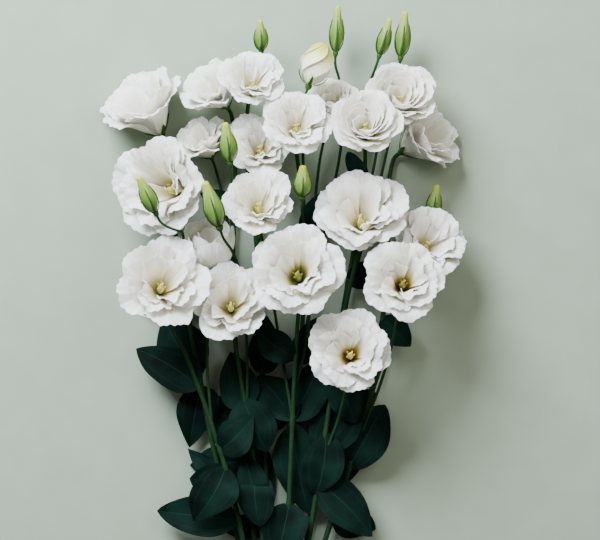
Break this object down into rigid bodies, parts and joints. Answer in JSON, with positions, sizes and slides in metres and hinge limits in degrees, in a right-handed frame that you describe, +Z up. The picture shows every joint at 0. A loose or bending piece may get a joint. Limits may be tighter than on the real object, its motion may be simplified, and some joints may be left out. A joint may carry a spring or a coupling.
{
  "type": "cut bunch of double white lisianthus",
  "caption": "Cut bunch of double white lisianthus, lying down: leafy stems that fan out from their cut ends to ruffled open blooms, a large opening bud and small green buds.",
  "frame": {"origin": "on the surface that the bunch lies on, under the middle of its box", "axes": "+Y along the stems from the cut ends to the flowers, +Z up from the surface, +X to the right as seen from above"},
  "size_m": [0.3154, 0.5993, 0.1116],
  "materials": {
    "petal": "soft matt white petals, slightly see-through, cream to green towards the throat",
    "stem_and_leaf": "dark blue-green leaf and stem with a waxy bloom",
    "bud": "smooth yellow-green furled petals",
    "pistil": "velvety yellow-green stigma and ovary"
  },
  "bodies": {
    "root": {"bloom_01": "petal", "bloom_02": "petal", "bloom_03": "petal", "bloom_04": "petal", "bloom_05": "petal", "bloom_06": "petal", "bloom_07": "petal", "bloom_08": "petal", "bloom_09": "petal", "bloom_10": "petal", "bloom_11": "petal", "bloom_12": "petal", "bloom_13": "petal", "bloom_14": "petal", "bloom_15": "petal", "bloom_16": "petal", "bloom_17": "petal", "bloom_18": "petal", "bloom_19": "petal", "bloom_20": "petal", "bud_01": "bud", "bud_02": "bud", "bud_03": "bud", "bud_04": "bud", "bud_05": "bud", "bud_06": "bud", "bud_07": "bud", "bud_08": "bud", "bud_09": "bud", "opening_bud": "petal", "pistil_01": "pistil", "pistil_02": "pistil", "pistil_03": "pistil", "pistil_04": "pistil", "pistil_05": "pistil", "pistil_06": "pistil", "pistil_07": "pistil", "pistil_08": "pistil", "pistil_09": "pistil", "pistil_10": "pistil", "pistil_11": "pistil", "pistil_12": "pistil", "pistil_14": "pistil", "pistil_15": "pistil", "pistil_16": "pistil", "pistil_17": "pistil", "pistil_18": "pistil", "pistil_19": "pistil", "pistil_20": "pistil", "stem_01": "stem_and_leaf", "stem_02": "stem_and_leaf", "stem_03": "stem_and_leaf", "stem_04": "stem_and_leaf", "stem_05": "stem_and_leaf", "stem_06": "stem_and_leaf", "stem_07": "stem_and_leaf", "stem_08": "stem_and_leaf", "stem_09": "stem_and_leaf", "stem_10": "stem_and_leaf"}
  },
  "joints": []
}
